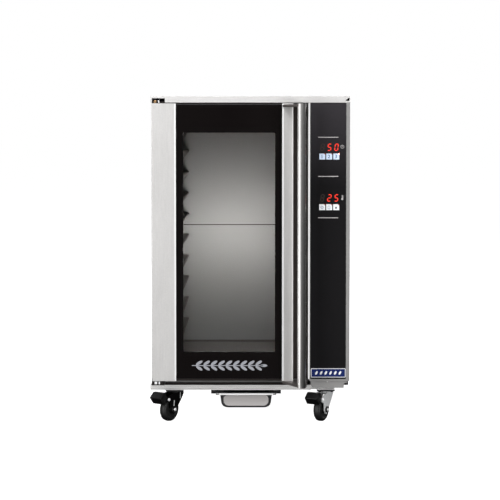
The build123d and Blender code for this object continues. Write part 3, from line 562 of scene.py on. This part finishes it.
def door_motif():
    """Printed wheat ear across the foot of the glass."""
    low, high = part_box("door_outer_glass")
    half, stalk, pairs = 110 * MM, 1.2 * MM, 9
    grain_half, grain_width, grain_rise, grain_tilt = 11.5 * MM, 4.4 * MM, 8.2 * MM, math.radians(32)
    mid_x = (low.x + high.x) / 2 - 5 * MM
    mid_z = low.z + 40 * MM
    shapes = [rounded(mid_x - half, mid_x + half, mid_z - stalk, mid_z + stalk, 1.1 * MM, 3)]
    for i in range(1, pairs + 1):
        x = mid_x - half + i * 2 * half / (pairs + 0.6)
        for side in (-1, 1):
            z = mid_z + side * grain_rise
            shapes.append(ellipse(x, z, grain_half, grain_width, side * grain_tilt))
    shapes.append(ellipse(mid_x + half + 2 * MM, mid_z, 11 * MM, 4.2 * MM, 0.0))
    bm = bmesh.new()
    for shape in shapes:
        slab(bm, shape, low.y - PRINT_T, low.y + 0.5 * MM)
    piece("door_motif", bm, "motif", "door")


def handle_recess():
    """Near-black sheet in the finger recess behind the handle tube: painted shade."""
    low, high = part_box("door_handle_stile")
    recess_x, recess_back = low.x + 34 * MM, high.y - 4 * MM
    x0, x1 = recess_x + 0.2 * MM, high.x - 0.1 * MM
    z0, z1 = low.z + 0.5 * MM, high.z - 0.5 * MM
    bm = bmesh.new()
    slab(bm, rounded(x0, x1, z0, z1, 1 * MM, 3), recess_back - 0.8 * MM, recess_back)
    piece("recess_painted_shade", bm, "painted_shade", "door")


TRIM_T, TRIM_EDGE = 0.4 * MM, 0.1 * MM


def glass_edge_trims():
    """Folded edges of both stiles beside the glass, drawn as near-white strips: a painted highlight."""
    hinge_low, hinge_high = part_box("door_hinge_stile")
    handle_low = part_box("door_handle_stile")[0]
    edges = (
        (hinge_high.x - 4.5 * MM, hinge_high.x - 0.2 * MM),
        (handle_low.x + 0.2 * MM, handle_low.x + 5.5 * MM),
    )
    bm = bmesh.new()
    for x0, x1 in edges:
        outline = rounded(x0, x1, hinge_low.z + 1 * MM, hinge_high.z - 1 * MM, 1 * MM, 3)
        slab(bm, outline, hinge_low.y - TRIM_T, hinge_low.y)
    piece("glass_edge_trims", bm, "edge_highlight", "door", TRIM_EDGE)


def column_edge():
    """Folded edge of the column beside the door handle, drawn as a near-white strip: a painted
    highlight.
    """
    low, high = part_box("column_frame")
    panel_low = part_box("control_panel")[0]
    x0, x1 = low.x + 0.1 * MM, panel_low.x - 2.0 * MM
    bm = bmesh.new()
    slab(bm, rounded(x0, x1, panel_low.z, high.z - 1 * MM, 1 * MM, 3), low.y - TRIM_T, low.y)
    piece("column_edge", bm, "edge_highlight", "cabinet", TRIM_EDGE)


def hinge_details():
    """A bronze knuckle above, a bright one below, and a pin beside each, on the hinge brackets."""
    pivot_x = joint("door_hinge")["pos_m"][0]
    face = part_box("hinge_brackets")[0].y
    low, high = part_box("door_hinge_stile")
    bronze = bmesh.new()
    bright = bmesh.new()
    for knuckle, z0, z1 in (
        (bright, low.z - 10 * MM, low.z - 1.5 * MM),
        (bronze, high.z + 1.5 * MM, high.z + 9 * MM),
    ):
        for bm, x0, x1, corner in ((knuckle, -4, 4, 2), (bright, 9, 13, 1)):
            outline = rounded(pivot_x + x0 * MM, pivot_x + x1 * MM, z0, z1, corner * MM, 4)
            slab(bm, outline, face - 0.8 * MM, face + 1 * MM)
    piece("hinge_knuckle_upper", bronze, "bronze", "cabinet", 0.6 * MM)
    piece("hinge_pins", bright, "nut", "cabinet", 0.6 * MM)


def base_rail_creases():
    """Two pressed lines along the face of the base rail, drawn as dark strips: painted shade in the
    creases.
    """
    low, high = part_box("base_frame")
    half = 0.5 * MM
    bm = bmesh.new()
    for z in (low.z + 3.6 * MM, low.z + 9.2 * MM):
        outline = rounded(low.x + 1 * MM, high.x - 1 * MM, z - half, z + half, 0.4 * MM, 2)
        slab(bm, outline, low.y - 0.15 * MM, low.y + 0.5 * MM)
    piece("base_rail_creases", bm, "crease_shade", "cabinet")


PAN_DRAFT_RUN, PAN_DRAFT_DEPTH = 7 * MM, 51.7 * MM


def drip_pan_face():
    """Painted light on the flat of the pan's drafted front, a brighter copy of the pan's steel, and a
    painted highlight along the rim of its flange.
    """
    low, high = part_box("drip_pan")
    body_x0, body_x1 = low.x + 27 * MM, high.x - 27 * MM
    top, foot = high.z - 7 * MM, low.z + 8 * MM
    bm = bmesh.new()
    slab(bm, rounded(body_x0, body_x1, foot, top, 16 * MM, 6), -0.5 * MM, 0.5 * MM)
    draft = math.atan(PAN_DRAFT_RUN / PAN_DRAFT_DEPTH)
    lean = Matrix.Translation((0, low.y + 16 * MM, top)) @ Matrix.Rotation(draft, 4, "X")
    placed(bm, lean @ Matrix.Translation((0, 0, -top)))
    piece("drip_pan_face", bm, "pan_face_highlight", "drip_pan", 0.4 * MM)
    rim_x0, rim_x1 = low.x + 12 * MM, high.x - 12 * MM
    bm = bmesh.new()
    slab(bm, rounded(rim_x0, rim_x1, high.z - 5.4 * MM, high.z - 0.4 * MM, 1 * MM, 3),
         low.y - 0.4 * MM, low.y + 0.5 * MM)
    piece("drip_pan_rim", bm, "edge_highlight", "drip_pan", 0.2 * MM)


# --- Control panel graphics --------------------------------------------------------------

SEGMENT_ENDS = {
    "a": ((0, 1), (1, 1)), "b": ((1, 1), (1, 0.5)), "c": ((1, 0.5), (1, 0)), "d": ((1, 0), (0, 0)),
    "e": ((0, 0), (0, 0.5)), "f": ((0, 0.5), (0, 1)), "g": ((0, 0.5), (1, 0.5)),
}
SEGMENTS_OF = {"0": "abcdef", "2": "abdeg", "5": "acdfg", "8": "abcdefg"}
DIGIT_W, DIGIT_H, DIGIT_STROKE = 9.4 * MM, 19.6 * MM, 2.5 * MM
DIGIT_SLANT = math.tan(math.radians(8))
SEGMENT_GAP = 0.06


def panel_front():
    """The plane of the control panel's face."""
    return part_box("control_panel")[0].y


def print_on_panel(bm, outline):
    """Lays an outline on the control panel's face."""
    slab(bm, outline, panel_front() - PRINT_T, panel_front() + 0.2 * MM)


def digit(bm, x, z, figure):
    """One slanted seven-segment figure centred on (x, z)."""
    for segment in SEGMENTS_OF[figure]:
        ends = []
        start, end = SEGMENT_ENDS[segment]
        for (u, v), (other_u, other_v) in ((start, end), (end, start)):
            u += (other_u - u) * SEGMENT_GAP
            v += (other_v - v) * SEGMENT_GAP
            dz = (v - 0.5) * DIGIT_H
            ends.append((x + (u - 0.5) * DIGIT_W + dz * DIGIT_SLANT, z + dz))
        print_on_panel(bm, stroke(*ends, DIGIT_STROKE))


def displays():
    """Lit and unlit figures over the display modules."""
    lit = bmesh.new()
    unlit = bmesh.new()
    for level, figures in (("upper", "850"), ("lower", "825")):
        z = centre(f"key_{level}_1").z + 28.4 * MM
        for number, figure in enumerate(figures, start=1):
            x = centre(f"key_{level}_{number}").x + 0.6 * MM
            digit(unlit if number == 1 else lit, x, z, figure)
    piece("display_figures", lit, "red", "cabinet")
    piece("display_unlit_figures", unlit, "unlit", "cabinet")


def panel_bars():
    """Three printed rules: over each display and between the two groups."""
    x0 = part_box("key_upper_1")[0].x - 4 * MM
    x1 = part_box("key_upper_3")[1].x - 3 * MM
    upper, lower = centre("key_upper_1").z, centre("key_lower_1").z
    half = 1.2 * MM
    bm = bmesh.new()
    for z in (upper + 59 * MM, upper - 61 * MM, lower - 32.5 * MM):
        print_on_panel(bm, rounded(x0, x1, z - half, z + half, 0.8 * MM, 3))
    piece("panel_rules", bm, "print", "cabinet")


def panel_icons():
    """Clock beside the upper display and thermometer beside the lower one."""
    front = panel_front()
    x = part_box("key_upper_3")[1].x + 9.5 * MM
    z = centre("key_upper_1").z + 30 * MM
    bm = bmesh.new()
    ring_slab(bm, disc(x, z, 5.6 * MM), disc(x, z, 4.2 * MM), front - PRINT_T, front + 0.2 * MM)
    for tip in ((x, z + 3.4 * MM), (x + 2.6 * MM, z - 1.2 * MM)):
        print_on_panel(bm, stroke((x, z), tip, 1.1 * MM))
    z = centre("key_lower_1").z + 29 * MM
    print_on_panel(bm, rounded(x - 1.3 * MM, x + 1.3 * MM, z - 1 * MM, z + 8 * MM, 1.2 * MM, 4))
    print_on_panel(bm, disc(x, z - 4 * MM, 3.2 * MM))
    for step in range(3):
        tick = z + (1 + 2.4 * step) * MM
        print_on_panel(bm, stroke((x + 2.2 * MM, tick), (x + 5 * MM, tick), 0.8 * MM))
    piece("panel_icons", bm, "print", "cabinet")


def key_front(node):
    """The plane of a key's face."""
    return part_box(node)[0].y


def numeral(text, node):
    """A printed figure on a key."""
    middle = centre(node)
    curve = bpy.data.curves.new(f"{node}_numeral", "FONT")
    curve.body = text
    curve.size = 15 * MM
    curve.extrude = PRINT_T
    curve.offset = 0.35 * MM
    curve.align_x = "CENTER"
    curve.align_y = "CENTER"
    source = bpy.data.objects.new(curve.name, curve)
    mesh = bpy.data.meshes.new_from_object(source)
    bpy.data.objects.remove(source)
    place = Vector((middle.x - 1 * MM, key_front(node), middle.z - 0.5 * MM))
    mesh.transform(Matrix.Translation(place) @ UPRIGHT)
    bm = bmesh.new()
    bm.from_mesh(mesh)
    bmesh.ops.remove_doubles(bm, verts=bm.verts[:], dist=0.001 * MM)
    piece(f"{node}_mark", bm, "key_mark", node)


def key_symbols():
    """Printed symbols on the lower keys: a lamp, a tray and a stop square."""
    for number in (1, 2, 3):
        node = f"key_lower_{number}"
        middle = centre(node)
        x, z = middle.x - 0.6 * MM, middle.z - 0.6 * MM
        front, back = key_front(node) - PRINT_T, key_front(node) + 0.1 * MM
        bm = bmesh.new()
        if number == 1:
            ring_slab(bm, disc(x, z, 4.6 * MM), disc(x, z, 3.4 * MM), front, back)
            slab(bm, disc(x, z, 1.2 * MM), front, back)
        elif number == 2:
            tray = (x - 3.4 * MM, x + 3.4 * MM, z - 5 * MM, z + 5 * MM)
            inner = rounded(*grown(tray, -1 * MM), 0.5 * MM, 3)
            ring_slab(bm, rounded(*tray, 1 * MM, 3), inner, front, back)
        else:
            stop = rounded(x - 2.6 * MM, x + 2.6 * MM, z - 4 * MM, z + 1.6 * MM, 0.6 * MM, 3)
            slab(bm, stop, front, back)
        piece(f"{node}_mark", bm, "key_dark" if number == 3 else "key_mark", node)


def indicator_lenses():
    """Triangular lenses in the keys' cut corners; one is lit."""
    back = panel_front() + 2 * MM
    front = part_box("indicator_leds")[0].y
    idle = bmesh.new()
    lit = bmesh.new()
    cut, clear = 4.2 * MM, 0.5 * MM
    for level in ("upper", "lower"):
        for number in (1, 2, 3):
            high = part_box(f"key_{level}_{number}")[1]
            x, z = high.x, high.z
            side = cut - 2 * clear
            outline = [(x, z - side), (x, z), (x - side, z)]
            slab(lit if (level, number) == ("upper", 3) else idle, outline, front, back)
    piece("indicator_idle", idle, "led_dim", "cabinet", 0.2 * MM, ("indicator_leds",))
    piece("indicator_lit", lit, "led", "cabinet", 0.2 * MM, ("indicator_leds",))


def badge():
    """Navy badge with a white rim and a plain row of grain shapes."""
    low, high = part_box("badge_plate")
    outer = rect("badge_plate")
    bm = bmesh.new()
    slab(bm, rounded(*grown(outer, -1.2 * MM), 2 * MM), low.y + 0.3 * MM, high.y)
    piece("badge_face", bm, "blue", "cabinet", 0.0, ("badge_plate",))
    inner = rounded(*grown(outer, -1.9 * MM), 1.4 * MM)
    middle = centre("badge_plate")
    grains, pitch = 6, 14.5 * MM
    bm = bmesh.new()
    ring_slab(bm, rounded(*outer, 2.6 * MM), inner, low.y, high.y)
    for i in range(grains):
        x = middle.x + (i - (grains - 1) / 2) * pitch
        grain = ellipse(x, middle.z, 6.2 * MM, 3.2 * MM, math.radians(62))
        slab(bm, grain, low.y + 0.1 * MM, high.y)
    piece("badge_rim", bm, "white", "cabinet", 0.15 * MM, ("badge_plate",))


# --- Castors ---------------------------------------------------------------------------

# Outlines of a brake pedal's hood, cheeks and tongue, in millimetres in the castor's own axes.
PEDAL_ROOF = ((64, 95), (76, 95), (94, 81), (93, 78), (77, 59),
              (74.5, 60.5), (89, 78.5), (90, 80.5), (75, 92.5), (64, 92.5))
PEDAL_SIDE = ((64, 95), (76, 95), (94, 81), (93, 78), (77, 59), (66.5, 59), (64, 70))
PEDAL_TONGUE = ((61, 68), (55, 67), (49, 72), (50, 78), (57, 80.5), (72, 92.5), (80, 88), (68, 74))
PEDAL_LEFT, PEDAL_RIGHT, PEDAL_SKIN = 27.0, 14.6, 2.5
TONGUE_HALF = 13.5
FORK_FACE = 17.5
# Radius and height in millimetres, and how far the top narrows.
WASHER, NUT, RIVET = (9.6, 5.5), (5.4, 8.0, 0.7), (4.7, 4.2, 0.6)


def castor_frame(name):
    """Castor axes as a matrix: X along the trail, Y along the axle, Z up, from under the swivel axis."""
    swivel = Vector(joint(f"castor_swivel_{name}")["pos_m"])
    axle = Vector(joint(f"castor_roll_{name}")["pos_m"])
    trail = Vector((axle.x - swivel.x, axle.y - swivel.y, 0)).normalized()
    up = Vector((0, 0, 1))
    turn = Matrix((trail, up.cross(trail), up)).transposed().to_4x4()
    return Matrix.Translation((swivel.x, swivel.y, 0)) @ turn


def in_castor(name, place):
    """A world point as millimetres in a castor's own axes."""
    return castor_frame(name).inverted() @ Vector(place) / MM


def metres(outline):
    """An outline in millimetres turned to metres."""
    return [(u * MM, z * MM) for u, z in outline]


def brake_pedal(name):
    """Hooded pedal that covers one cheek of the fork and stays inside the other."""
    bm = bmesh.new()
    left, right, skin = -PEDAL_LEFT * MM, PEDAL_RIGHT * MM, PEDAL_SKIN * MM
    slab(bm, metres(PEDAL_ROOF), left, right)
    slab(bm, metres(PEDAL_SIDE), left - 0.05 * MM, left + skin)
    slab(bm, metres(PEDAL_SIDE), right - skin, right + 0.05 * MM)
    slab(bm, metres(PEDAL_TONGUE), -TONGUE_HALF * MM, (TONGUE_HALF - 0.2) * MM)
    node = f"brake_pedal_{name}"
    placed(bm, castor_frame(name))
    piece(f"pedal_hood_{name}", bm, "pedal", node, 0.8 * MM, (node,))


def head(bm, place, radius, height, crown=1.0):
    """Round head on the fork's face at (u, z) millimetres, narrowed towards its top by crown."""
    u, z = place
    profile = [(0, 0), (radius, 0), (radius, 0.6 * height), (crown * radius, height), (0, height)]
    base = Vector((u, FORK_FACE, z)) * MM
    turned(bm, [(r * MM, h * MM) for r, h in profile], base, Vector((0, 1, 0)), 24)


def castor_fittings(name, braked):
    """Black washer and bright nut on the axle's outer end, and a rivet through each ear of a brake."""
    fork = f"castor_fork_{name}"
    axle = in_castor(name, joint(f"castor_roll_{name}")["pos_m"])
    washer = bmesh.new()
    head(washer, (axle.x, axle.z), *WASHER)
    piece(f"axle_washer_{name}", placed(washer, castor_frame(name)), "black", fork)
    nut = bmesh.new()
    head(nut, (axle.x, axle.z), *NUT)
    if braked:
        pivot = in_castor(name, joint(f"brake_{name}")["pos_m"])
        head(nut, (pivot.x, pivot.z), *RIVET)
    piece(f"axle_nut_{name}", placed(nut, castor_frame(name)), "nut", fork)


def fork_ribs(name):
    """Two pressed ribs down a fork's outer face, coloured bright: a painted highlight."""
    bm = bmesh.new()
    for start, end in (((-4, 86), (-4, 66)), ((27, 66), (29, 48))):
        slab(bm, metres(stroke(start, end, 3.2)), FORK_FACE * MM, (FORK_FACE + 0.9) * MM)
    placed(bm, castor_frame(name))
    piece(f"fork_ribs_{name}", bm, "zinc_painted_highlight", f"castor_fork_{name}", 0.3 * MM)


# --- Stage, light and camera -------------------------------------------------------------


def make_floor():
    """Pale floor that runs far past the frame's edges and throws no light back on the cabinet."""
    reach = 150.0
    bm = bmesh.new()
    corners = [bm.verts.new((x * reach, y * reach, 0)) for x, y in ((-1, -1), (1, -1), (1, 1), (-1, 1))]
    bm.faces.new(corners)
    mesh = bpy.data.meshes.new("floor")
    bm.to_mesh(mesh)
    bm.free()
    floor = bpy.data.objects.new("floor", mesh)
    bpy.context.scene.collection.objects.link(floor)
    finish = Finish("studio_floor", grey(0.9), 0.0, 0.9)
    finish.shader.inputs["Emission Color"].default_value = (1, 1, 1, 1)
    finish.shader.inputs["Emission Strength"].default_value = 1.0
    mesh.materials.append(finish.material)
    floor.visible_diffuse = False
    floor.visible_glossy = False
    floor.visible_shadow = False


def make_world():
    """White backdrop behind the cabinet; the softboxes do the lighting."""
    world = bpy.data.worlds.new("studio")
    bpy.context.scene.world = world
    world.use_nodes = True
    background = world.node_tree.nodes["Background"]
    background.inputs["Color"].default_value = (1, 1, 1, 1)
    background.inputs["Strength"].default_value = 1.0
    world.cycles_visibility.diffuse = False
    world.cycles_visibility.glossy = False


def softbox(name, place, target, size, power, leaves_out=(), colour=(1, 1, 1), only=()):
    """Rectangular softbox aimed at a point, lighting all the pieces, all but some, or only some."""
    lamp = bpy.data.lights.new(name, "AREA")
    lamp.color = colour
    lamp.shape = "RECTANGLE"
    lamp.size, lamp.size_y = size
    lamp.energy = power
    obj = bpy.data.objects.new(name, lamp)
    bpy.context.scene.collection.objects.link(obj)
    obj.location = place
    obj.rotation_euler = (Vector(target) - Vector(place)).to_track_quat("-Z", "Y").to_euler()
    obj.visible_camera = False
    if leaves_out or only:
        receivers = bpy.data.collections.new(f"{name}_receivers")
        for node in only or leaves_out:
            receivers.objects.link(nodes[node])
        for linked in receivers.collection_objects:
            linked.light_linking.link_state = "INCLUDE" if only else "EXCLUDE"
        obj.light_linking.receiver_collection = receivers


def make_lights():
    """Soft sources at both sides, above and behind, two for the handle tube, and one in the cavity."""
    middle = (0, -0.3, 0.55)
    under_door = ("door_surround", "drip_gutter", "door_rails")
    softbox("key_left", (-2.6, -3.0, 1.0), middle, (1.5, 4.4), 120, ("left_side_panel", "door_handle"))
    softbox("handle_left", (-2.9, -1.1, 0.6), middle, (1.3, 5.0), 100, only=("door_handle",))
    softbox("handle_front", (-2.6, -3.2, 0.4), middle, (2.2, 5.0), 52, only=("door_handle",))
    softbox("fill_right", (2.7, -2.9, 0.9), middle, (1.2, 3.2), 52, ("door_handle", "right_side_panel"))
    softbox("top_front", (0.0, -2.5, 3.5), middle, (1.8, 1.0), 84)
    softbox("low_left", (-1.7, -2.6, 0.1), (0, -0.3, 0.1), (0.8, 0.5), 5, (*under_door, "door_handle"))
    softbox("low_right", (1.7, -2.6, 0.1), (0, -0.3, 0.1), (0.8, 0.5), 18, (*under_door, "door_handle"))
    softbox("rear_left", (-2.5, 3.0, 1.6), (0, 0.2, 0.5), (3.2, 3.4), 50)
    softbox("rear_right", (2.5, 2.8, 1.6), (0, 0.2, 0.5), (3.2, 3.4), 45)
    softbox("interior_lamp", (-0.066, -0.2, 0.54), (-0.066, 0.29, 0.56), (0.32, 0.05), 1.6,
            ("cavity_liner", "rack_left", "rack_right"), (1.0, 0.90, 0.88))


CAMERA_PLACE = (0.0, -4.317, 0.877)
CAMERA_LENS = 94.3
CAMERA_PITCH = 2.0
CAMERA_SHIFT = (-0.001, -0.1288)


def make_camera():
    """Long-lens view from straight in front, almost level and framed by the lens shift."""
    data = bpy.data.cameras.new("camera")
    cam = bpy.data.objects.new("camera", data)
    bpy.context.scene.collection.objects.link(cam)
    data.sensor_width = 36.0
    data.lens = CAMERA_LENS
    data.shift_x, data.shift_y = CAMERA_SHIFT
    data.clip_end = 400
    cam.location = CAMERA_PLACE
    cam.rotation_euler = (math.radians(90 - CAMERA_PITCH), 0, 0)
    bpy.context.scene.camera = cam


finish_cad()
door_glass()
door_motif()
baffle_joints()
handle_recess()
glass_edge_trims()
column_edge()
hinge_details()
base_rail_creases()
drip_pan_face()
displays()
panel_bars()
panel_icons()
for number in (1, 2, 3):
    numeral(str(number), f"key_upper_{number}")
key_symbols()
indicator_lenses()
badge()

for name in ("front_left", "front_right"):
    brake_pedal(name)
    castor_fittings(name, True)
for name in ("rear_left", "rear_right"):
    castor_fittings(name, False)
fork_ribs("front_left")

make_floor()
make_world()
make_camera()
make_lights()
bpy.context.scene.view_settings.view_transform = "Standard"
